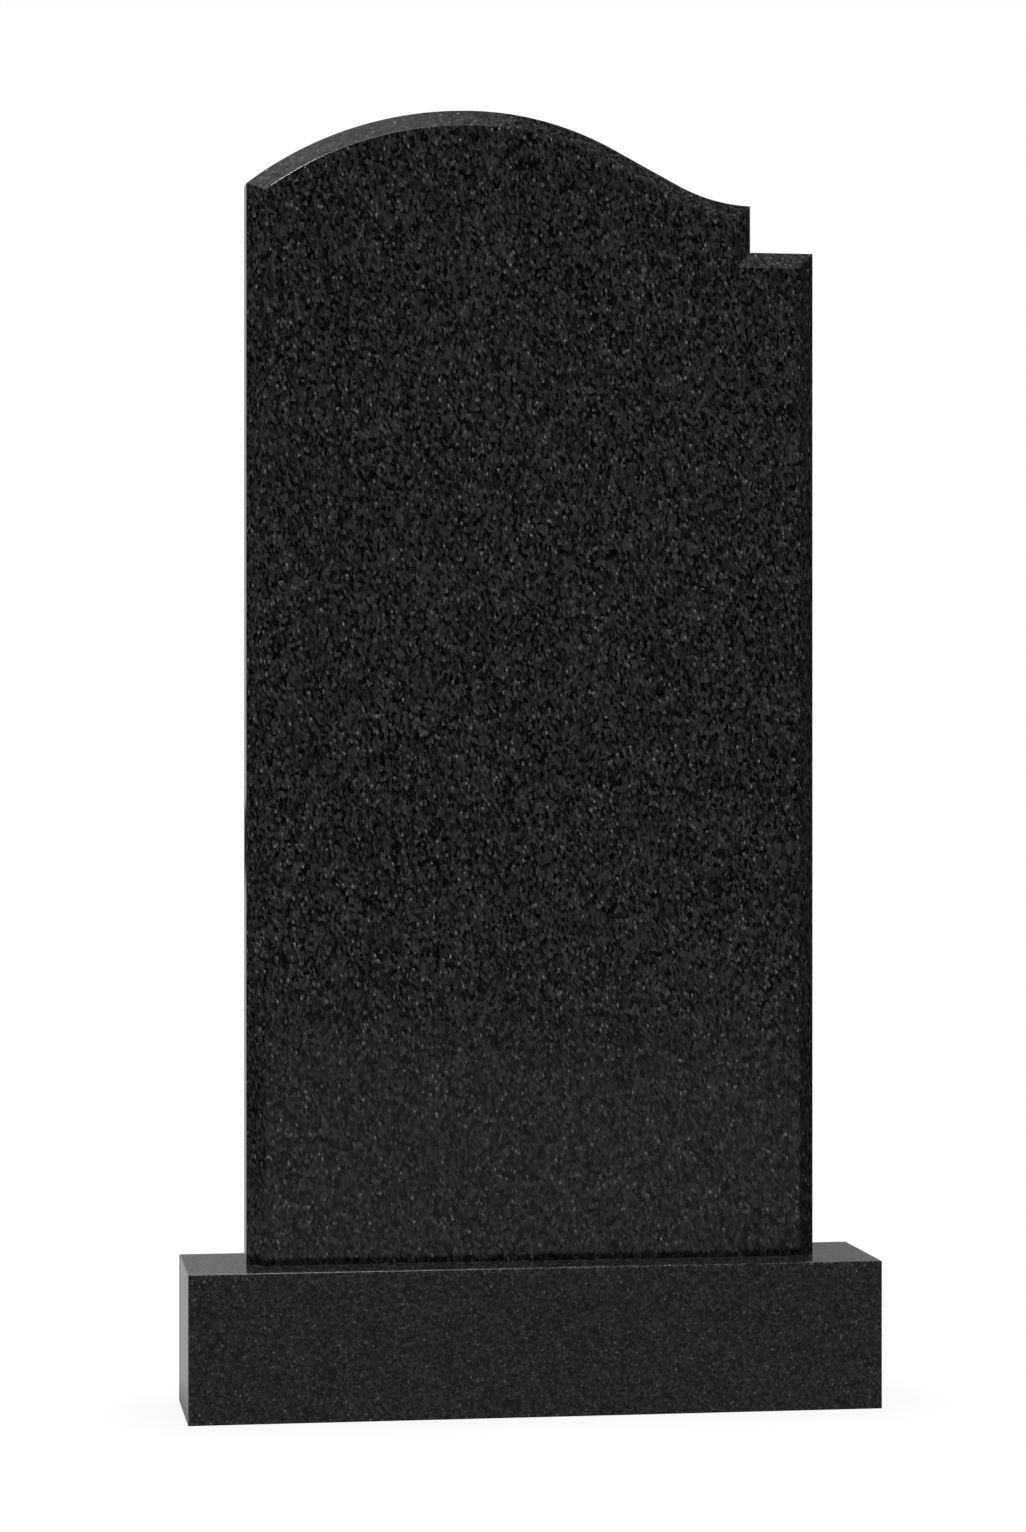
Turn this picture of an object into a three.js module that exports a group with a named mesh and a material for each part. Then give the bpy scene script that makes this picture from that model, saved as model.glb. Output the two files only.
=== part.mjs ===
// Headstone of polished black granite: an upright stele with a flowing, stepped top, on a plinth.
//
// Millimetres. +X runs to the right as one faces the stone, +Y away from the viewer, +Z up.
// The origin is the middle of the plinth's underside, on the ground.

import * as THREE from 'three';

// Stele, one slab: its size, and the levels of its top as falls from the crown
const STELE_WIDTH = 600;
const STELE_HEIGHT = 1200; // foot to crown
const STELE_THICKNESS = 50;
const CROWN_FROM_LEFT = 236; // left side to crown
const LEFT_CORNER_FALL = 81; // crown to the corner where the arch meets the left side
const SWEEP_FALL = 93.5; // crown to the lowest level of the hollow sweep
const STEP_HEIGHT = 49; // end of the sweep down to the flat shoulder
const SHOULDER_WIDTH = 67.5; // right side to the step

// The flow between crown and step: a crest, a straight run, and a hollow sweep that the step cuts off
const STRAIGHT_RUN = 78; // length of the straight between crest and sweep
const SWEEP_RADIUS = 178;
const SWEEP_SHORTFALL = 5; // how far before its lowest point the sweep is cut off

// Worked edges of the stele
const FACE_BEVEL = 18; // 45 degrees, round the front of the outline and not along the foot
const BACK_ARRIS = 2; // the same round the back, only to take off the sharp edge

// Plinth, one block that stands out round the foot of the stele
const PLINTH_HEIGHT = 154;
const LEFT_LEDGE = 64.5; // stele's left side to plinth's left side
const RIGHT_LEDGE = 57.5;
const FRONT_LEDGE = 55; // stele's face to plinth's front
const BACK_LEDGE = 55;
const PLINTH_ARRIS = 2.5; // on its top and upright edges

const BED_JOINT = 0.3; // between the plinth's top and the foot of the stele

const ARC_STEPS = 20; // each arc of the outline takes twice this number of chords
const SAME_POINT = 1e-6; // corners nearer to each other than this are one corner

const POLISHED_BLACK_GRANITE = { color: 0x1e1e1f, roughness: 0.15, metalness: 0 };

// A closed body through like outlines at rising levels: walls between neighbours, and flat ends
function loft(sections) {
  const count = sections[0].outline.length;
  const lastStart = (sections.length - 1) * count;
  const index = [];
  for (let start = 0; start < lastStart; start += count) {
    for (let i = 0; i < count; i += 1) {
      const here = start + i;
      const next = start + ((i + 1) % count);
      index.push(here, next, next + count);
      index.push(here, next + count, here + count);
    }
  }
  for (const [a, b, c] of THREE.ShapeUtils.triangulateShape(sections[0].outline, [])) {
    index.push(a, c, b);
  }
  for (const [a, b, c] of THREE.ShapeUtils.triangulateShape(sections.at(-1).outline, [])) {
    index.push(lastStart + a, lastStart + b, lastStart + c);
  }
  const points = sections.flatMap(({ outline, level }) => (
    outline.map(({ x, y }) => new THREE.Vector3(x, y, level))
  ));
  const geometry = new THREE.BufferGeometry().setFromPoints(points);
  geometry.setIndex(index);
  return geometry;
}

// Outline of the stele as seen from the front, counter-clockwise from its left foot. A narrowing
// moves every edge but the foot inwards by that much, and the corners stay mitred.
function steleOutline(narrowing) {
  const right = STELE_WIDTH / 2;
  const crownX = CROWN_FROM_LEFT - right;
  const stepX = right - SHOULDER_WIDTH;

  // The sweep's circle would run level at its lowest point, a little past the step
  const sweepX = stepX + SWEEP_SHORTFALL;
  const sweepCentre = STELE_HEIGHT - SWEEP_FALL + SWEEP_RADIUS;
  const stepTop = sweepCentre - Math.sqrt(SWEEP_RADIUS ** 2 - SWEEP_SHORTFALL ** 2);

  // The crest's circle is level at the crown, and the straight run touches both circles
  const run = sweepX - crownX;
  const radii = (run ** 2 + SWEEP_FALL ** 2 - STRAIGHT_RUN ** 2) / (2 * SWEEP_FALL);
  const crestRadius = radii - SWEEP_RADIUS;
  const slope = Math.atan2(run, radii - SWEEP_FALL) - Math.atan2(STRAIGHT_RUN, radii);

  // The arch left of the crown is level there too, and comes down to the left corner
  const archRadius = (CROWN_FROM_LEFT ** 2 + LEFT_CORNER_FALL ** 2) / (2 * LEFT_CORNER_FALL);

  // Every line and circle moves inwards: a hump's circle gets smaller, and the hollow's larger
  const side = right - narrowing;
  const step = stepX - narrowing;
  const shoulder = stepTop - STEP_HEIGHT - narrowing;
  const sweep = SWEEP_RADIUS + narrowing;
  const crest = crestRadius - narrowing;
  const arch = archRadius - narrowing;
  const stepAngle = Math.asin((sweepX - step) / sweep);
  const cornerAngle = Math.asin((crownX + side) / arch);

  // Angles at the top and at the bottom of a circle
  const up = Math.PI / 2;
  const down = -up;
  const shape = new THREE.Shape();
  shape.moveTo(-side, 0);
  shape.lineTo(side, 0);
  shape.lineTo(side, shoulder);
  shape.lineTo(step, shoulder);
  shape.absarc(sweepX, sweepCentre, sweep, down - stepAngle, down - slope, true);
  shape.absarc(crownX, STELE_HEIGHT - crestRadius, crest, up - slope, up, false);
  shape.absarc(crownX, STELE_HEIGHT - archRadius, arch, up, up + cornerAngle, false);
  const points = shape.getPoints(ARC_STEPS);
  return points.filter((point, i) => i === 0 || point.distanceTo(points[i - 1]) > SAME_POINT);
}

// The slab lies on its back here, with its face upwards
function steleGeometry() {
  return loft([
    { outline: steleOutline(BACK_ARRIS), level: 0 },
    { outline: steleOutline(0), level: BACK_ARRIS },
    { outline: steleOutline(0), level: STELE_THICKNESS - FACE_BEVEL },
    { outline: steleOutline(FACE_BEVEL), level: STELE_THICKNESS },
  ]);
}

// Plan of the plinth with its upright edges taken off, moved inwards by the narrowing
function plinthPlan(narrowing) {
  const x = (LEFT_LEDGE + STELE_WIDTH + RIGHT_LEDGE) / 2 - narrowing;
  const y = (FRONT_LEDGE + STELE_THICKNESS + BACK_LEDGE) / 2 - narrowing;
  const cut = PLINTH_ARRIS - (2 - Math.SQRT2) * narrowing;
  return [
    new THREE.Vector2(-x + cut, -y),
    new THREE.Vector2(x - cut, -y),
    new THREE.Vector2(x, -y + cut),
    new THREE.Vector2(x, y - cut),
    new THREE.Vector2(x - cut, y),
    new THREE.Vector2(-x + cut, y),
    new THREE.Vector2(-x, y - cut),
    new THREE.Vector2(-x, -y + cut),
  ];
}

function plinthGeometry() {
  return loft([
    { outline: plinthPlan(0), level: 0 },
    { outline: plinthPlan(0), level: PLINTH_HEIGHT - PLINTH_ARRIS },
    { outline: plinthPlan(PLINTH_ARRIS), level: PLINTH_HEIGHT },
  ]);
}

function granitePiece(name, geometry) {
  const material = new THREE.MeshStandardMaterial({ ...POLISHED_BLACK_GRANITE, flatShading: true });
  const piece = new THREE.Mesh(geometry, material);
  piece.name = name;
  return piece;
}

const plinth = granitePiece('plinth', plinthGeometry());

// Stood up, the slab has its face towards -Y, and the ledges say how far it is off the plinth's middle
const stele = granitePiece('stele', steleGeometry());
stele.rotation.x = Math.PI / 2;
stele.position.x = (LEFT_LEDGE - RIGHT_LEDGE) / 2;
stele.position.y = (FRONT_LEDGE - BACK_LEDGE + STELE_THICKNESS) / 2;
stele.position.z = PLINTH_HEIGHT + BED_JOINT;

const headstone = new THREE.Group();
headstone.name = 'headstone';
headstone.add(plinth, stele);

export default headstone;
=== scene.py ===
# %% [markdown]
# A headstone of polished black granite
#
# The real object is two blocks of gabbro, the stone that masons sell as black granite: an upright
# slab, the stele, with a flowing top that ends in a step, and a low plinth under it. Both were sawn,
# cut to outline, and polished until they mirror. This lesson makes the two blocks, gives them
# their stone, and lights them as in a photographer's studio.
#
# The measured model of the headstone is loaded first and stays as it is. What is made here goes
# exactly where that model says, in metres, with the middle of the plinth's underside at the origin,
# X to the right as one faces the stone, Y away from the viewer and Z up.

import math

import bmesh
import bpy
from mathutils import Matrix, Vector


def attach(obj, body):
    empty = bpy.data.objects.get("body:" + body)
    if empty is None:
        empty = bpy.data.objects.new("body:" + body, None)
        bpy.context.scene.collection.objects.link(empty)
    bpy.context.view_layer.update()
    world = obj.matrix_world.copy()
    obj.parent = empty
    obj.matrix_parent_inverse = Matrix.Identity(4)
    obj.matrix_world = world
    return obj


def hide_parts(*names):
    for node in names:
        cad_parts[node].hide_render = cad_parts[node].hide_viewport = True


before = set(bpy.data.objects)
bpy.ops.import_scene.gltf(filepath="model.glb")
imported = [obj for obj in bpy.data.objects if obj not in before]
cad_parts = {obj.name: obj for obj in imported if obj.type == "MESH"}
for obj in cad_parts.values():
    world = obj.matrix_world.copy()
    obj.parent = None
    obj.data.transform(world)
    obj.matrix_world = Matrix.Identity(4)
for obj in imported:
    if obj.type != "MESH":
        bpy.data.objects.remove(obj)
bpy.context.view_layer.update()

print("nodes:", sorted(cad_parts))

# %% [markdown]
# Two helpers
#
# Every shader and every geometry tree below is built from nodes, so one small function adds a node,
# sets its properties, and fills or links its inputs. Colours are written as sRGB hex values, as a
# paint program shows them, and a second function turns them into the linear values that Blender
# calculates with.

# %% Add a node, and turn a hex colour linear
MM = 0.001


def add(tree, kind, settings=None, inputs=None):
    node = tree.nodes.new(kind)
    for name, value in (settings or {}).items():
        setattr(node, name, value)
    for name, value in (inputs or {}).items():
        if isinstance(value, bpy.types.NodeSocket):
            tree.links.new(value, node.inputs[name])
        else:
            node.inputs[name].default_value = value
    return node


def linear(hex_colour):
    channels = [int(hex_colour[i : i + 2], 16) / 255 for i in (1, 3, 5)]
    return [c / 12.92 if c <= 0.04045 else ((c + 0.055) / 1.055) ** 2.4 for c in channels] + [1]


print("mid grey of the stone, linear:", linear("#202020"))

# %% [markdown]
# The camera
#
# The photographer stood nearly four metres away and a little to the left, with a long lens at half
# the height of the stone, and kept the camera level: the upright edges of the stone stay parallel
# in the picture. Fitting the straight edges of both blocks to the picture gives the place of the
# camera, the angle by which it is turned to the right, and the focal length in pixels. Blender
# wants the focal length in millimetres on its sensor, whose size counts along the picture's long side.

# %% Place the camera
PICTURE_HEIGHT = 1532
FOCAL_LENGTH_IN_PIXELS = 3754
CAMERA_AT = (-0.5936, -3.8936, 0.6695)
TURNED_RIGHT = 8.435

camera = bpy.data.objects.new("camera", bpy.data.cameras.new("camera"))
bpy.context.scene.collection.objects.link(camera)
camera.location = CAMERA_AT
camera.rotation_euler = (math.radians(90), 0, math.radians(-TURNED_RIGHT))
camera.data.lens = camera.data.sensor_width * FOCAL_LENGTH_IN_PIXELS / PICTURE_HEIGHT
bpy.context.scene.camera = camera
print("focal length %.1f mm" % camera.data.lens)

# %% [markdown]
# The stone
#
# Gabbro is a mass of interlocking crystals a few millimetres long: dark pyroxene, nearly black, and
# laths of grey feldspar, with a few bright flecks. Polished, it has the gloss of glass, with an index
# of refraction of about 1.55, and its colour lies under that gloss. A picture texture would repeat
# and blur, so the crystals are drawn as cells: a Voronoi texture gives each one a random lightness,
# a noise clouds it, and the distance from the crystal's middle darkens it where it meets its
# neighbours. A colour ramp turns that lightness into a grey, from the darkest to the lightest. Few
# crystals get lighter than 0.85, so the ramps end there.
#
# The pattern is measured in the crystals' width and length, because the Mapping node, as a
# texture's mapping, divides the position on the stone by them, and it can lean the crystals too.
# Both are fitted to the grain in the picture, where a pixel covers about a millimetre of stone.
# Finer crystals, if the real stone has them, are too fine to show.
#
# A stone may also have painted shades: painted light and shade by height, as shares of its own grey
# that it keeps at given heights, where the light falls on it differently. Each crystal meets the
# border between two painted shades a little higher or lower than its neighbours, which leaves that
# border ragged.

# %% Write the recipe of the stone
GABBRO_IOR = 1.55
CLOUDING = 0.25
CLOUDS_PER_CRYSTAL = 1.2
DARKENING_TO_THE_RIM = 0.2
BORDER_OF_PAINTED_SHADES = 3 * MM


# Crystal, relief and the heights of the painted shades are in millimetres. Greys are pairs of a
# lightness and a colour, and the painted shades, painted light and shade by height, are pairs of a
# height and the share of its grey that the stone keeps there.
def stone(name, crystal, greys, roughness, relief, lean=0, painted_shades=None):
    material = bpy.data.materials.new(name)
    material.use_nodes = True
    tree = material.node_tree
    tree.nodes.clear()
    place = add(tree, "ShaderNodeTexCoord").outputs["Object"]
    in_crystals = add(
        tree,
        "ShaderNodeMapping",
        {"vector_type": "TEXTURE"},
        {
            "Vector": place,
            "Rotation": (0, math.radians(lean), 0),
            "Scale": [side * MM for side in crystal],
        },
    ).outputs[0]
    cells = add(tree, "ShaderNodeTexVoronoi", {}, {"Vector": in_crystals, "Scale": 1})
    of_crystal = add(tree, "ShaderNodeSeparateColor", {}, {"Color": cells.outputs["Color"]}).outputs
    clouds = add(
        tree,
        "ShaderNodeTexNoise",
        {},
        {"Vector": in_crystals, "Scale": CLOUDS_PER_CRYSTAL, "Detail": 2, "Roughness": 0.5},
    )
    # The Mix node has a pair of sockets for each kind of data; numbers 2 and 3 are the plain values
    clouded = add(
        tree,
        "ShaderNodeMix",
        {"data_type": "FLOAT"},
        {0: CLOUDING, 2: of_crystal["Red"], 3: clouds.outputs["Fac"]},
    )
    lightness = add(
        tree,
        "ShaderNodeMath",
        {"operation": "MULTIPLY_ADD"},
        {0: cells.outputs["Distance"], 1: -DARKENING_TO_THE_RIM, 2: clouded.outputs[0]},
    )
    ramp = add(tree, "ShaderNodeValToRGB", {}, {"Fac": lightness.outputs[0]})
    # Where a new stop starts doesn't matter, because each one is then put in its place
    stops = ramp.color_ramp.elements
    while len(stops) < len(greys):
        stops.new(0.5)
    for stop, (lightness_at_stop, grey) in zip(stops, greys):
        stop.position = lightness_at_stop
        stop.color = linear(grey)
    colour = ramp.outputs["Color"]
    # Painted light and shade by height: the grey is multiplied by the share kept at each height
    if painted_shades:
        height = add(tree, "ShaderNodeSeparateXYZ", {}, {0: place}).outputs["Z"]
        ragged_height = add(
            tree,
            "ShaderNodeMath",
            {"operation": "MULTIPLY_ADD"},
            {0: of_crystal["Green"], 1: BORDER_OF_PAINTED_SHADES, 2: height},
        )
        kept = add(tree, "ShaderNodeValToRGB", {}, {"Fac": ragged_height.outputs[0]})
        stops = kept.color_ramp.elements
        while len(stops) < len(painted_shades):
            stops.new(0.5)
        for stop, (at_height, share_kept) in zip(stops, painted_shades):
            stop.position = at_height * MM + BORDER_OF_PAINTED_SHADES / 2
            stop.color = (share_kept, share_kept, share_kept, 1)
        colour = add(
            tree,
            "ShaderNodeVectorMath",
            {"operation": "MULTIPLY"},
            {0: colour, 1: kept.outputs["Color"]},
        ).outputs[0]
    bump = add(
        tree, "ShaderNodeBump", {}, {"Distance": relief * MM, "Height": clouds.outputs["Fac"]}
    )
    shader = add(
        tree,
        "ShaderNodeBsdfPrincipled",
        {},
        {
            "Base Color": colour,
            "Roughness": roughness,
            "IOR": GABBRO_IOR,
            "Normal": bump.outputs["Normal"],
        },
    )
    add(tree, "ShaderNodeOutputMaterial", {}, {"Surface": shader.outputs["BSDF"]})
    return material


print("border between two shades: %.0f mm" % (BORDER_OF_PAINTED_SHADES / MM))

# %% [markdown]
# Two polished stones and two plainer finishes
#
# The stele was cut across the grain of its block, so its crystals show as laths that stand nearly
# upright and lean a little to the left. Its lower third is darker and calmer, over the height where
# the floor's pool of light is mirrored, and right above the bed joint it carries a band of painted
# shade. The plinth comes from a finer, evener block, and its level top and eased edges are painted
# lighter than its upright faces, as painted light. The back is only honed: without its gloss the
# same stone looks greyer, because the roughened surface scatters some white light. The undersides
# stay as the saw left them, greyer still and quite matt.

# %% Polished, honed and sawn gabbro
# Polished, the slab is a dark mirror, and its upright crystals show as a fine streaked grain
polished_slab = stone(
    "polished gabbro, stele",
    crystal=(2.5, 2.5, 4.4),
    lean=-10,
    greys=[
        (0.0, "#000000"),
        (0.085, "#010101"),
        (0.17, "#0d0d0d"),
        (0.29, "#161616"),
        (0.4, "#1f1f1f"),
        (0.585, "#282828"),
        (0.74, "#333333"),
        (0.8, "#464646"),
        (0.85, "#747474"),
    ],
    roughness=0.1,
    relief=0.05,
    # Painted shade: right above the bed joint, up to about 161 mm, the slab keeps only 0.3 of its
    # grey. Up to 360 mm it keeps 0.76, and it has its full grey from 450 mm, over the height where the
    # floor's pool of light is mirrored.
    painted_shades=[(160.5, 0.3), (162.5, 0.76), (360, 0.76), (450, 1.0)],
)
# The same mirror over a finer and calmer grain, so the plinth looks even, with a few bright flecks
polished_plinth = stone(
    "polished gabbro, plinth",
    crystal=(2.3, 2.3, 2.7),
    greys=[
        (0.0, "#000000"),
        (0.195, "#151515"),
        (0.4, "#2a2a2a"),
        (0.585, "#353535"),
        (0.74, "#434343"),
        (0.8, "#515151"),
        (0.85, "#8b8b8b"),
    ],
    roughness=0.1,
    relief=0.03,
    # Painted light: the level top and its eased edges keep all their grey, and the upright faces below
    # 151.5 mm keep only 0.36 of it
    painted_shades=[(151.5, 0.36), (153.5, 1.0)],
)
# Honed, the stone mirrors nothing sharply any more, and looks a soft dark grey
honed_back = stone(
    "honed gabbro, back",
    crystal=(2.5, 2.5, 3.2),
    greys=[
        (0.0, "#2c2c2c"),
        (0.2, "#363636"),
        (0.4, "#3e3e3e"),
        (0.6, "#484848"),
        (0.85, "#5e5e5e"),
    ],
    roughness=0.5,
    relief=0.1,
)
# As sawn, it is matt, rough to the hand and the palest grey of all
sawn_underside = stone(
    "sawn gabbro, underside",
    crystal=(2.5, 2.5, 3.2),
    greys=[
        (0.0, "#404040"),
        (0.2, "#4a4a4a"),
        (0.4, "#525252"),
        (0.6, "#5a5a5a"),
        (0.85, "#6e6e6e"),
    ],
    roughness=0.8,
    relief=0.4,
)
print("stones:", [material.name for material in bpy.data.materials])

# %% [markdown]
# The stele
#
# The mason draws the outline on a template with a straightedge and compasses: an arch over the left
# part, a crest that runs over into a hollow sweep, and a step down to a flat shoulder. A bevel of
# 18 mm then runs round the front, and it keeps the same width everywhere, so the inner outline is
# the outer one with every edge moved inwards. A line stays a line, a hump's circle gets smaller and
# a hollow's larger. That is a rule, so Geometry Nodes make the stele: each vertex of a closed tube
# knows how far inwards it lies and where along the outline, and the tree works out its place.
# An extruded outline with Bevel modifiers would do too, but it would have to be drawn again for
# another size of stone, while the tree only takes new numbers.

# %% Sizes of the stele, and the circles of its template
WIDTH = 600 * MM
HEIGHT = 1200 * MM
THICKNESS = 50 * MM
CROWN_FROM_LEFT = 236 * MM
LEFT_CORNER_FALL = 81 * MM
SWEEP_FALL = 93.5 * MM
STEP_HEIGHT = 49 * MM
SHOULDER_WIDTH = 67.5 * MM
STRAIGHT_RUN = 78 * MM
SWEEP_RADIUS = 178 * MM
SWEEP_SHORTFALL = 5 * MM
FACE_BEVEL = 18 * MM
BACK_ARRIS = 2 * MM
ARRIS_RADIUS = 0.8 * MM
ARRIS_STEPS = 4
POINTS_PER_EDGE = 24

crown_x = CROWN_FROM_LEFT - WIDTH / 2
step_x = WIDTH / 2 - SHOULDER_WIDTH
sweep_x = step_x + SWEEP_SHORTFALL
sweep_z = HEIGHT - SWEEP_FALL + SWEEP_RADIUS
shoulder_z = sweep_z - math.sqrt(SWEEP_RADIUS**2 - SWEEP_SHORTFALL**2) - STEP_HEIGHT
run = sweep_x - crown_x
radii = (run**2 + SWEEP_FALL**2 - STRAIGHT_RUN**2) / (2 * SWEEP_FALL)
crest_radius = radii - SWEEP_RADIUS
slope = math.atan2(run, radii - SWEEP_FALL) - math.atan2(STRAIGHT_RUN, radii)
arch_radius = (CROWN_FROM_LEFT**2 + LEFT_CORNER_FALL**2) / (2 * LEFT_CORNER_FALL)
print("radii of arch, crest, sweep: %.4f %.4f %.4f" % (arch_radius, crest_radius, SWEEP_RADIUS))

# %% [markdown]
# A tree with sockets
#
# A geometry tree needs sockets for what goes in and out. One helper makes a new tree with them and
# hands back what comes in by name, so that the maths can be written as a table: each row is the
# name of a result, an operation, and what it works on. A loop then makes a Math node of every row
# and keeps its result under its name, so that later rows can work on it.

# %% Make a tree with its sockets
SOCKETS = {
    "geometry": "NodeSocketGeometry",
    "number": "NodeSocketFloat",
    "vector": "NodeSocketVector",
    "count": "NodeSocketInt",
    "material": "NodeSocketMaterial",
}


def new_tree(name, takes, gives):
    tree = bpy.data.node_groups.new(name, "GeometryNodeTree")
    for way, sockets in (("INPUT", takes), ("OUTPUT", gives)):
        for socket, kind in sockets.items():
            tree.interface.new_socket(socket, in_out=way, socket_type=SOCKETS[kind])
    return tree, {socket.name: socket for socket in add(tree, "NodeGroupInput").outputs}


print("kinds of sockets:", list(SOCKETS))

# %% [markdown]
# The outline as a rule
#
# The outline has nine edges. Going round from the left foot they are the foot, the right side, the
# shoulder, the step, the sweep, the straight run, the crest, the arch and the left side. Each one
# runs from its own corner to the next edge's corner. A point of a straight edge is a mix of both
# corners. For an arc the same point is pushed out from the circle's centre until it is on the circle.
# The narrowing moves every edge but the foot inwards.

# %% Sizes that the outline tree takes, and its sums
OUTLINE_SIZES = [
    "Half width",
    "Height",
    "Shoulder height",
    "Step from middle",
    "Sweep centre from middle",
    "Sweep centre height",
    "Sweep radius",
    "Crown from middle",
    "Crest radius",
    "Arch radius",
    "Slope",
]
outline_tree, known = new_tree(
    "stele outline",
    {"Edge": "count", "Along": "number", "Narrowing": "number"}
    | dict.fromkeys(OUTLINE_SIZES, "number"),
    {"Position": "vector"},
)
OUTLINE_SUMS = [
    ("side", "SUBTRACT", "Half width", "Narrowing"),
    ("left side", "MULTIPLY", "side", -1),
    ("step", "SUBTRACT", "Step from middle", "Narrowing"),
    ("shoulder", "SUBTRACT", "Shoulder height", "Narrowing"),
    ("crown", "SUBTRACT", "Height", "Narrowing"),
    ("sweep", "ADD", "Sweep radius", "Narrowing"),
    ("sweep downwards", "MULTIPLY", "sweep", -1),
    ("crest", "SUBTRACT", "Crest radius", "Narrowing"),
    ("arch", "SUBTRACT", "Arch radius", "Narrowing"),
    ("crest centre height", "SUBTRACT", "Height", "Crest radius"),
    ("arch centre height", "SUBTRACT", "Height", "Arch radius"),
    ("slope sine", "SINE", "Slope"),
    ("slope cosine", "COSINE", "Slope"),
    # The step's top is where its line cuts the sweep's circle
    ("step aside", "SUBTRACT", "Sweep centre from middle", "step"),
    ("step aside squared", "POWER", "step aside", 2),
    ("sweep squared", "POWER", "sweep", 2),
    ("step rest", "SUBTRACT", "sweep squared", "step aside squared"),
    ("step below centre", "SQRT", "step rest"),
    ("step top", "SUBTRACT", "Sweep centre height", "step below centre"),
    # The left corner is where the side's line cuts the arch's circle
    ("corner aside", "SUBTRACT", "Crown from middle", "left side"),
    ("corner aside squared", "POWER", "corner aside", 2),
    ("arch squared", "POWER", "arch", 2),
    ("corner rest", "SUBTRACT", "arch squared", "corner aside squared"),
    ("corner above centre", "SQRT", "corner rest"),
    ("corner height", "ADD", "arch centre height", "corner above centre"),
]
for result, operation, *values in OUTLINE_SUMS:
    known[result] = add(
        outline_tree,
        "ShaderNodeMath",
        {"operation": operation, "label": result},
        {i: known.get(value, value) for i, value in enumerate(values)},
    ).outputs[0]
print("sums in the outline tree:", len(OUTLINE_SUMS))

# %% Corners and circles of the outline
POINTS = {
    "left foot": ("left side", 0),
    "right foot": ("side", 0),
    "shoulder's end": ("side", "shoulder"),
    "foot of the step": ("step", "shoulder"),
    "top of the step": ("step", "step top"),
    "top of the crown": ("Crown from middle", "crown"),
    "left corner": ("left side", "corner height"),
    "sweep centre": ("Sweep centre from middle", "Sweep centre height"),
    "crest centre": ("Crown from middle", "crest centre height"),
    "arch centre": ("Crown from middle", "arch centre height"),
    "square to the slope": ("slope sine", "slope cosine"),
}
for point, (x, y) in POINTS.items():
    node = add(
        outline_tree,
        "ShaderNodeCombineXYZ",
        {"label": point},
        {"X": known.get(x, x), "Y": known.get(y, y)},
    )
    known[point] = node.outputs[0]

# Both ends of the straight run lie square to the slope from the centre of the circle they are on
for point, circle, reach in (
    ("low end of the run", "sweep centre", "sweep downwards"),
    ("high end of the run", "crest centre", "crest"),
):
    node = add(
        outline_tree,
        "ShaderNodeVectorMath",
        {"operation": "MULTIPLY_ADD", "label": point},
        {0: known["square to the slope"], 1: known[reach], 2: known[circle]},
    )
    known[point] = node.outputs[0]

# Each edge: the corner where it starts, and for an arc its circle's centre and radius
EDGES = [
    ("left foot", None, 0),
    ("right foot", None, 0),
    ("shoulder's end", None, 0),
    ("foot of the step", None, 0),
    ("top of the step", "sweep centre", "sweep"),
    ("low end of the run", None, 0),
    ("high end of the run", "crest centre", "crest"),
    ("top of the crown", "arch centre", "arch"),
    ("left corner", None, 0),
]
starts = [known[start] for start, _, _ in EDGES]
of_edge = {}
for what, kind, values in (
    ("start", "VECTOR", starts),
    ("end", "VECTOR", starts[1:] + starts[:1]),
    ("centre", "VECTOR", [known.get(centre) for _, centre, _ in EDGES]),
    ("radius", "FLOAT", [known.get(radius) for _, _, radius in EDGES]),
):
    switch = add(
        outline_tree,
        "GeometryNodeIndexSwitch",
        {"data_type": kind, "label": what},
        {"Index": known["Edge"]},
    )
    while len(switch.index_switch_items) < len(EDGES):
        switch.index_switch_items.new()
    for i, value in enumerate(values):
        if value is not None:
            outline_tree.links.new(value, switch.inputs[i + 1])
    of_edge[what] = switch.outputs[0]
print("edges of the outline:", len(EDGES))

# %% Place a point on its edge
# The Mix node has a pair of sockets for each kind of data; numbers 4 and 5 are the vectors
on_chord = add(
    outline_tree,
    "ShaderNodeMix",
    {"data_type": "VECTOR"},
    {0: known["Along"], 4: of_edge["start"], 5: of_edge["end"]},
)
from_centre = add(
    outline_tree,
    "ShaderNodeVectorMath",
    {"operation": "SUBTRACT"},
    {0: on_chord.outputs[1], 1: of_edge["centre"]},
)
outwards = add(
    outline_tree,
    "ShaderNodeVectorMath",
    {"operation": "NORMALIZE"},
    {0: from_centre.outputs[0]},
)
on_circle = add(
    outline_tree,
    "ShaderNodeVectorMath",
    {"operation": "MULTIPLY_ADD"},
    {0: outwards.outputs[0], 1: of_edge["radius"], 2: of_edge["centre"]},
)
is_arc = add(
    outline_tree,
    "FunctionNodeCompare",
    {"data_type": "FLOAT", "operation": "GREATER_THAN"},
    {0: of_edge["radius"], 1: 0},
)
on_edge = add(
    outline_tree,
    "GeometryNodeSwitch",
    {"input_type": "VECTOR"},
    {"Switch": is_arc.outputs[0], "False": on_chord.outputs[1], "True": on_circle.outputs[0]},
)
add(outline_tree, "NodeGroupOutput", {}, {"Position": on_edge.outputs[0]})
print("nodes in the outline tree:", len(outline_tree.nodes))

# %% [markdown]
# From outline to slab
#
# A section through the worked edge is a line of six points, from the face over the bevel, the side
# and the back arris to the back. Fillet Curve rounds its four corners, as the polisher's hand does:
# a polished arris is never quite sharp, and its small round is what catches the light. The slab is
# then a cylinder with a ring for every point of the rounded section but the first and the last,
# which only give the fillets something to start from. Each vertex finds from its index which ring
# it is on, which gives its narrowing and its level, and which edge of the outline it belongs to.
# The two ends of the cylinder are the face and the back.

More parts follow.
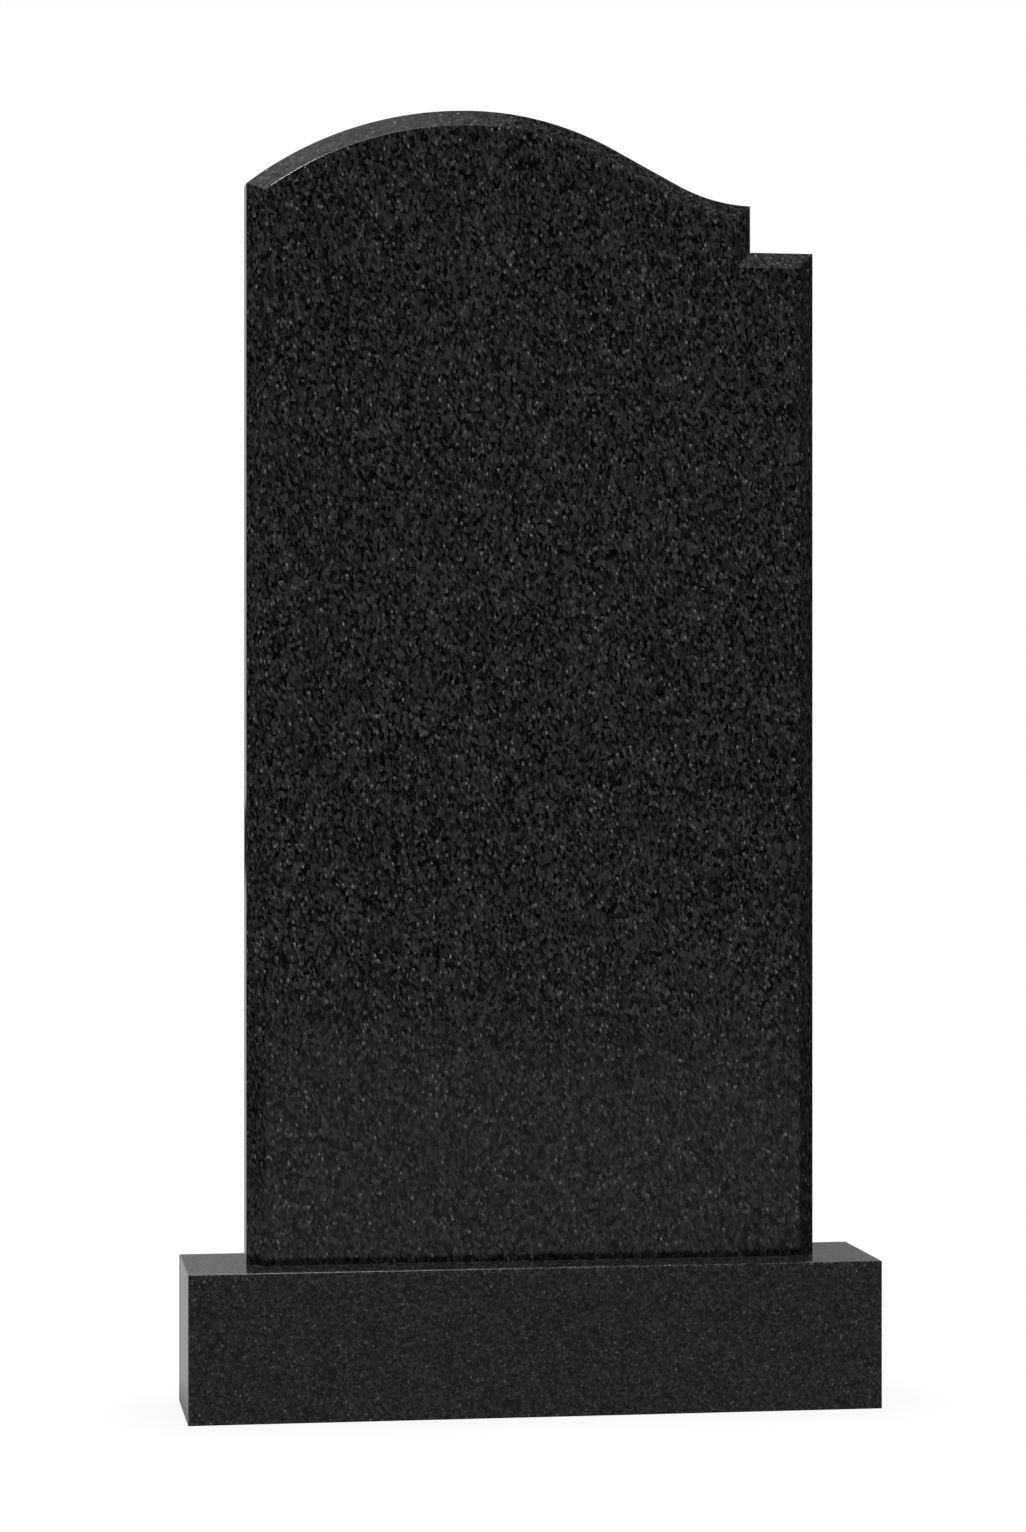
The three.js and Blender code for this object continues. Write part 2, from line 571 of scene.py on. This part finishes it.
# %% Grow the tree of the stele
STELE_SIZES = ["Thickness", "Face bevel", "Back arris", "Arris radius"]
STONES = ["Polished stone", "Honed stone", "Sawn stone"]
stele_tree, known = new_tree(
    "stele",
    dict.fromkeys(OUTLINE_SIZES + STELE_SIZES, "number")
    | {"Arris steps": "count", "Points per edge": "count", "Place": "vector"}
    | dict.fromkeys(STONES, "material"),
    {"Geometry": "geometry"},
)
SECTION_SUMS = [
    ("side front", "SUBTRACT", "Thickness", "Face bevel"),
    ("face run-in", "ADD", "Face bevel", "Arris radius"),
    ("back run-in", "ADD", "Back arris", "Arris radius"),
    ("columns", "MULTIPLY", "Points per edge", len(EDGES)),
]
for result, operation, *values in SECTION_SUMS:
    known[result] = add(
        stele_tree,
        "ShaderNodeMath",
        {"operation": operation, "label": result},
        {i: known.get(value, value) for i, value in enumerate(values)},
    ).outputs[0]
SECTION = [
    ("face run-in", "Thickness"),
    ("Face bevel", "Thickness"),
    (0, "side front"),
    (0, "Back arris"),
    ("Back arris", 0),
    ("back run-in", 0),
]
known["index"] = add(stele_tree, "GeometryNodeInputIndex").outputs[0]
section_point = add(
    stele_tree, "GeometryNodeIndexSwitch", {"data_type": "VECTOR"}, {"Index": known["index"]}
)
while len(section_point.index_switch_items) < len(SECTION):
    section_point.index_switch_items.new()
for i, (inwards, level) in enumerate(SECTION):
    corner = add(
        stele_tree,
        "ShaderNodeCombineXYZ",
        {},
        {"X": known.get(inwards, inwards), "Y": known.get(level, level)},
    )
    stele_tree.links.new(corner.outputs[0], section_point.inputs[i + 1])
line = add(stele_tree, "GeometryNodeMeshLine", {}, {"Count": len(SECTION)})
bent = add(
    stele_tree,
    "GeometryNodeSetPosition",
    {},
    {"Geometry": line.outputs[0], "Position": section_point.outputs[0]},
)
section = add(stele_tree, "GeometryNodeMeshToCurve", {}, {"Mesh": bent.outputs[0]})
rounded = add(
    stele_tree,
    "GeometryNodeFilletCurve",
    {"mode": "POLY"},
    {
        "Curve": section.outputs[0],
        "Count": known["Arris steps"],
        "Radius": known["Arris radius"],
        "Limit Radius": True,
    },
)
section_size = add(
    stele_tree, "GeometryNodeAttributeDomainSize", {"component": "CURVE"}, {0: rounded.outputs[0]}
)
known["section points"] = section_size.outputs["Point Count"]
# The two end points of the section give no ring, and the side has one segment fewer than rings
RING_SUMS = [
    ("side segments", "SUBTRACT", "section points", 3),
    ("rings passed", "DIVIDE", "index", "columns"),
    ("ring", "FLOOR", "rings passed"),
    ("section index", "ADD", "ring", 1),
    ("column", "MODULO", "index", "columns"),
    ("edges passed", "DIVIDE", "column", "Points per edge"),
    ("edge", "FLOOR", "edges passed"),
    ("along", "FRACT", "edges passed"),
]
for result, operation, *values in RING_SUMS:
    known[result] = add(
        stele_tree,
        "ShaderNodeMath",
        {"operation": operation, "label": result},
        {i: known.get(value, value) for i, value in enumerate(values)},
    ).outputs[0]
print("nodes in the stele tree so far:", len(stele_tree.nodes))

# %% Bend the cylinder to the outline and stand it up
# An edge is shaded smooth where it is a step of an arc, or lies between two facets of a rounded
# arris. The edges between a facet and a flat stay sharp, so that the flats stay flat to the eye.
ARC_STEP_TURN = math.radians(3)
FACET_STEP_TURN = math.radians(30)
FACET_AREA = 20 * MM**2
# A face looks along an axis when its normal has more than this share of it
STRAIGHT_ALONG = 0.99
cylinder = add(
    stele_tree,
    "GeometryNodeMeshCylinder",
    {"fill_type": "NGON"},
    {"Vertices": known["columns"], "Side Segments": known["side segments"]},
)
own_place = add(stele_tree, "GeometryNodeInputPosition").outputs[0]
at_ring = add(
    stele_tree,
    "GeometryNodeSampleIndex",
    {"data_type": "FLOAT_VECTOR", "domain": "POINT"},
    {
        "Geometry": rounded.outputs[0],
        "Value": own_place,
        "Index": known["section index"],
    },
)
inwards_and_level = add(stele_tree, "ShaderNodeSeparateXYZ", {}, {0: at_ring.outputs[0]}).outputs
outline_place = add(
    stele_tree,
    "GeometryNodeGroup",
    {"node_tree": outline_tree},
    {"Edge": known["edge"], "Along": known["along"], "Narrowing": inwards_and_level["X"]}
    | {size: known[size] for size in OUTLINE_SIZES},
)
across_and_up = add(stele_tree, "ShaderNodeSeparateXYZ", {}, {0: outline_place.outputs[0]}).outputs
vertex_place = add(
    stele_tree,
    "ShaderNodeCombineXYZ",
    {},
    {"X": across_and_up["X"], "Y": across_and_up["Y"], "Z": inwards_and_level["Y"]},
)
shaped = add(
    stele_tree,
    "GeometryNodeSetPosition",
    {},
    {"Geometry": cylinder.outputs["Mesh"], "Position": vertex_place.outputs[0]},
)
stood_up = add(
    stele_tree,
    "GeometryNodeTransform",
    {},
    {
        "Geometry": shaped.outputs[0],
        "Translation": known["Place"],
        "Rotation": (math.radians(90), 0, 0),
    },
)
smooth = add(
    stele_tree,
    "GeometryNodeSetShadeSmooth",
    {"domain": "FACE"},
    {"Geometry": stood_up.outputs[0], "Shade Smooth": True},
)
turn = add(stele_tree, "GeometryNodeInputMeshEdgeAngle").outputs["Unsigned Angle"]
# Read on an edge, the face area is the mean of its two faces
face_area = add(stele_tree, "GeometryNodeInputMeshFaceArea").outputs[0]
is_under = {}
for what, value, limit in (
    ("arc step", turn, ARC_STEP_TURN),
    ("facet step", turn, FACET_STEP_TURN),
    ("facets", face_area, FACET_AREA),
):
    is_under[what] = add(
        stele_tree,
        "FunctionNodeCompare",
        {"data_type": "FLOAT", "operation": "LESS_THAN"},
        {0: value, 1: limit},
    ).outputs[0]
in_a_round = add(
    stele_tree,
    "FunctionNodeBooleanMath",
    {"operation": "AND"},
    {0: is_under["facet step"], 1: is_under["facets"]},
)
flat_enough = add(
    stele_tree,
    "FunctionNodeBooleanMath",
    {"operation": "OR"},
    {0: is_under["arc step"], 1: in_a_round.outputs[0]},
)
creased = add(
    stele_tree,
    "GeometryNodeSetShadeSmooth",
    {"domain": "EDGE"},
    {"Geometry": smooth.outputs[0], "Shade Smooth": flat_enough.outputs[0]},
)
geometry = add(stele_tree, "GeometryNodeRealizeInstances", {}, {0: creased.outputs[0]}).outputs[0]

# Everything is polished but the back, whose faces look along Y, and the foot, whose faces look down
normal = add(stele_tree, "GeometryNodeInputNormal").outputs[0]
faces_along = add(stele_tree, "ShaderNodeSeparateXYZ", {}, {0: normal}).outputs
geometry = add(
    stele_tree,
    "GeometryNodeSetMaterial",
    {},
    {"Geometry": geometry, "Material": known["Polished stone"]},
).outputs[0]
for stone_name, axis, operation, limit in (
    ("Honed stone", "Y", "GREATER_THAN", STRAIGHT_ALONG),
    ("Sawn stone", "Z", "LESS_THAN", -STRAIGHT_ALONG),
):
    chosen = add(
        stele_tree,
        "FunctionNodeCompare",
        {"data_type": "FLOAT", "operation": operation},
        {0: faces_along[axis], 1: limit},
    )
    geometry = add(
        stele_tree,
        "GeometryNodeSetMaterial",
        {},
        {"Geometry": geometry, "Selection": chosen.outputs[0], "Material": known[stone_name]},
    ).outputs[0]
add(stele_tree, "NodeGroupOutput", {}, {"Geometry": geometry})
print("nodes in the stele tree:", len(stele_tree.nodes))

# %% [markdown]
# From tree to mesh
#
# A modifier runs the tree. Its inputs are set by each socket's identifier before the object is
# evaluated for the first time. The evaluated result is then kept as a plain mesh and the modifier
# is left behind, because the piece must be a mesh of its own for whoever takes it further.

# %% Run the tree of the stele
PLINTH_HEIGHT = 154 * MM
LEFT_LEDGE = 64.5 * MM
RIGHT_LEDGE = 57.5 * MM
FRONT_LEDGE = 55 * MM
BACK_LEDGE = 55 * MM
BED_JOINT = 0.3 * MM

mesh_to_grow_from = bpy.data.meshes.new("start of the stele")
grower = bpy.data.objects.new("start of the stele", mesh_to_grow_from)
bpy.context.scene.collection.objects.link(grower)
modifier = grower.modifiers.new("stele", "NODES")
modifier.node_group = stele_tree
inputs = {
    "Half width": WIDTH / 2,
    "Height": HEIGHT,
    "Shoulder height": shoulder_z,
    "Step from middle": step_x,
    "Sweep centre from middle": sweep_x,
    "Sweep centre height": sweep_z,
    "Sweep radius": SWEEP_RADIUS,
    "Crown from middle": crown_x,
    "Crest radius": crest_radius,
    "Arch radius": arch_radius,
    "Slope": slope,
    "Thickness": THICKNESS,
    "Face bevel": FACE_BEVEL,
    "Back arris": BACK_ARRIS,
    "Arris radius": ARRIS_RADIUS,
    "Arris steps": ARRIS_STEPS,
    "Points per edge": POINTS_PER_EDGE,
    "Place": (
        (LEFT_LEDGE - RIGHT_LEDGE) / 2,
        (FRONT_LEDGE - BACK_LEDGE + THICKNESS) / 2,
        PLINTH_HEIGHT + BED_JOINT,
    ),
    "Polished stone": polished_slab,
    "Honed stone": honed_back,
    "Sawn stone": sawn_underside,
}
for item in stele_tree.interface.items_tree:
    if item.in_out == "INPUT" and item.name in inputs:
        modifier[item.identifier] = inputs[item.name]

evaluated = grower.evaluated_get(bpy.context.evaluated_depsgraph_get())
stele_mesh = bpy.data.meshes.new_from_object(evaluated)
bpy.data.objects.remove(grower)
# The cylinder brings an empty material slot of its own, which no face uses any more
stele_mesh.materials.pop(index=0)
stele = bpy.data.objects.new("stele_slab", stele_mesh)
bpy.context.scene.collection.objects.link(stele)
print("stele: %d vertices, %d faces" % (len(stele_mesh.vertices), len(stele_mesh.polygons)))
print("its materials:", [material.name for material in stele_mesh.materials])

# %% [markdown]
# The plinth
#
# The plinth is one sawn and polished block. Its top edges and its upright edges are eased with a
# rubbing stone to a round of nearly 2 mm, and the lower edges stay as sawn, because they stand on
# the ground. A block with a few rounded edges needs no tree: a cube in mesh code is scaled to its
# size, and the bevel operation rounds the edges that have at least one end at the top.

# %% Make the plinth
PLINTH_ARRIS = 1.8 * MM
PLINTH_ARRIS_STEPS = 8
PLINTH_FACET_AREA = 500 * MM**2
ROUND_PROFILE = 0.5
plinth_size = Vector(
    (LEFT_LEDGE + WIDTH + RIGHT_LEDGE, FRONT_LEDGE + THICKNESS + BACK_LEDGE, PLINTH_HEIGHT)
)
on_the_ground = Vector((0, 0, 0.5))
shape = bmesh.new()
bmesh.ops.create_cube(shape, size=1)
for vertex in shape.verts:
    vertex.co = (vertex.co + on_the_ground) * plinth_size
eased = [edge for edge in shape.edges if any(vertex.co.z > 0 for vertex in edge.verts)]
bmesh.ops.bevel(
    shape,
    geom=eased,
    offset=PLINTH_ARRIS,
    offset_type="OFFSET",
    segments=PLINTH_ARRIS_STEPS,
    profile=ROUND_PROFILE,
    affect="EDGES",
)
plinth_mesh = bpy.data.meshes.new("plinth_block")
POLISHED, HONED, SAWN = range(3)
for material in (polished_plinth, honed_back, sawn_underside):
    plinth_mesh.materials.append(material)
for edge in shape.edges:
    edge.smooth = max(face.calc_area() for face in edge.link_faces) < PLINTH_FACET_AREA
for face in shape.faces:
    face.smooth = True
    face.material_index = POLISHED
    if face.normal.z < -STRAIGHT_ALONG:
        face.material_index = SAWN
    elif face.normal.y > STRAIGHT_ALONG:
        face.material_index = HONED
shape.to_mesh(plinth_mesh)
shape.free()
plinth = bpy.data.objects.new("plinth_block", plinth_mesh)
bpy.context.scene.collection.objects.link(plinth)
print("plinth: %d vertices, %d faces" % (len(plinth_mesh.vertices), len(plinth_mesh.polygons)))

# %% [markdown]
# Both blocks stand for the measured model's own
#
# Each block replaces the node of the measured model and rides on the one body that the headstone has.

# %% Put the blocks in the measured model's place
for piece, node in ((stele, "stele"), (plinth, "plinth")):
    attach(piece, "root")
    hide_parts(node)
    print(piece.name, "stands for", node)

# %% [markdown]
# The studio
#
# A polished black stone shows hardly any colour of its own: what one sees of its form is what it
# mirrors. So the studio matters more than the stone. The picture's background is plain white, but
# the edges of the stone mirror a floor and a backdrop that are about half as bright at most, as
# when a photographer keeps the light off them. To have both, the floor and the backdrop show
# themselves white to the camera and dimmer to the stone, which the Light Path node tells apart.

# %% The floor
FLOOR_REACH = 60
AMBIENT = 0.03
WHITE = linear("#ffffff")
CONTACT_SHADOW_REACH = 0.1
CONTACT_SHADOW_FULL_AT = 0.4
CONTACT_SHADOW_TONE = 0.92
# As the stone mirrors it, the floor is dim but for three pools of light with soft edges
POOLS = {
    # name: (brightness, edges: (axis, where the light is gone, where it is full))
    "in front": (0.185, [("Y", 0.2, -0.1), ("Y", -7.0, -4.5), ("X", -3.0, -1.0), ("X", 4.2, 2.4)]),
    "behind": (0.44, [("Y", -0.05, 0.3), ("Y", 22.0, 15.0), ("X", -4.5, -3.0), ("X", 1.5, 0.0)]),
    "left": (0.44, [("Y", -0.3, -0.1), ("Y", 0.3, -0.05), ("X", -0.9, -0.6), ("X", -0.35, -0.4)]),
}
floor_mesh = bpy.data.meshes.new("floor")
corners = [(x * FLOOR_REACH, y * FLOOR_REACH, 0) for x, y in ((-1, -1), (1, -1), (1, 1), (-1, 1))]
floor_mesh.from_pydata(corners, [], [(0, 1, 2, 3)])
floor = bpy.data.objects.new("floor", floor_mesh)
bpy.context.scene.collection.objects.link(floor)

floor_paint = bpy.data.materials.new("pale studio floor")
floor_paint.use_nodes = True
tree = floor_paint.node_tree
tree.nodes.clear()
seen_by = add(tree, "ShaderNodeLightPath")
# To the camera the floor is white, and a touch darker right beside the stone
near = add(
    tree, "ShaderNodeAmbientOcclusion", {"samples": 8}, {"Distance": CONTACT_SHADOW_REACH}
)
seen_white = add(
    tree,
    "ShaderNodeMapRange",
    {},
    {
        "Value": near.outputs["AO"],
        "From Min": CONTACT_SHADOW_FULL_AT,
        "To Min": CONTACT_SHADOW_TONE,
    },
)
place = add(tree, "ShaderNodeTexCoord").outputs["Object"]
place_along = add(tree, "ShaderNodeSeparateXYZ", {}, {0: place}).outputs
mirrored = AMBIENT
for name, (pool, edges) in POOLS.items():
    for axis, gone_at, full_at in edges:
        pool = add(
            tree,
            "ShaderNodeMapRange",
            {"interpolation_type": "SMOOTHSTEP", "label": name},
            {"Value": place_along[axis], "From Min": gone_at, "From Max": full_at, "To Max": pool},
        ).outputs[0]
    mirrored = add(tree, "ShaderNodeMath", {"operation": "ADD"}, {0: mirrored, 1: pool}).outputs[0]
strength = add(
    tree,
    "ShaderNodeMix",
    {"data_type": "FLOAT"},
    {0: seen_by.outputs["Is Camera Ray"], 2: mirrored, 3: seen_white.outputs[0]},
)
glow = add(tree, "ShaderNodeEmission", {}, {"Color": WHITE, "Strength": strength.outputs[0]})
add(tree, "ShaderNodeOutputMaterial", {}, {"Surface": glow.outputs[0]})
floor_mesh.materials.append(floor_paint)
print("floor reaches", FLOOR_REACH, "m each way")

# %% [markdown]
# The lights
#
# The lights are soft boxes far enough away to count as patches of the sky: each has a direction, an
# inner angle within which it has its full brightness, an outer angle where it has faded to nothing,
# and that brightness. They are drawn in the world's shader.

# %% The soft boxes
LIGHTS = {
    # name: (azimuth from the front to the left, elevation, inner angle, outer angle, brightness)
    "key, front": (12, 48, 6, 24, 6.8),
    "small light, upper left": (20, 44, 2, 4.5, 180.0),
    "fill, front right": (-50, 35, 10, 35, 0.5),
    "soft box, overhead left": (100, 58, 16, 52, 0.82),
    "soft box, overhead right": (-90, 55, 5, 22, 0.05),
    "soft box, overhead behind": (180, 42, 8, 28, 2.5),
    "backdrop": (180, 0, 12, 60, 0.206),
    "backdrop, left": (150, 0, 5, 40, 0.355),
}
world = bpy.data.worlds.new("studio")
bpy.context.scene.world = world
world.use_nodes = True
tree = world.node_tree
tree.nodes.clear()
looking = add(tree, "ShaderNodeTexCoord").outputs["Generated"]
total = AMBIENT
for name, (azimuth, elevation, inner, outer, brightness) in LIGHTS.items():
    a = math.radians(azimuth)
    e = math.radians(elevation)
    towards = (-math.sin(a) * math.cos(e), -math.cos(a) * math.cos(e), math.sin(e))
    nearness = add(
        tree,
        "ShaderNodeVectorMath",
        {"operation": "DOT_PRODUCT", "label": name},
        {0: looking, 1: towards},
    )
    patch = add(
        tree,
        "ShaderNodeMapRange",
        {"interpolation_type": "SMOOTHSTEP"},
        {
            "Value": nearness.outputs["Value"],
            "From Min": math.cos(math.radians(outer)),
            "From Max": math.cos(math.radians(inner)),
            "To Max": brightness,
        },
    )
    total = add(
        tree, "ShaderNodeMath", {"operation": "ADD"}, {0: total, 1: patch.outputs[0]}
    ).outputs[0]
seen_by = add(tree, "ShaderNodeLightPath")
strength = add(
    tree,
    "ShaderNodeMix",
    {"data_type": "FLOAT"},
    {0: seen_by.outputs["Is Camera Ray"], 2: total, 3: 1},
)
sky = add(tree, "ShaderNodeBackground", {}, {"Color": WHITE, "Strength": strength.outputs[0]})
add(tree, "ShaderNodeOutputWorld", {}, {"Surface": sky.outputs[0]})
bpy.context.scene.view_settings.view_transform = "Standard"
print("soft boxes:", len(LIGHTS))
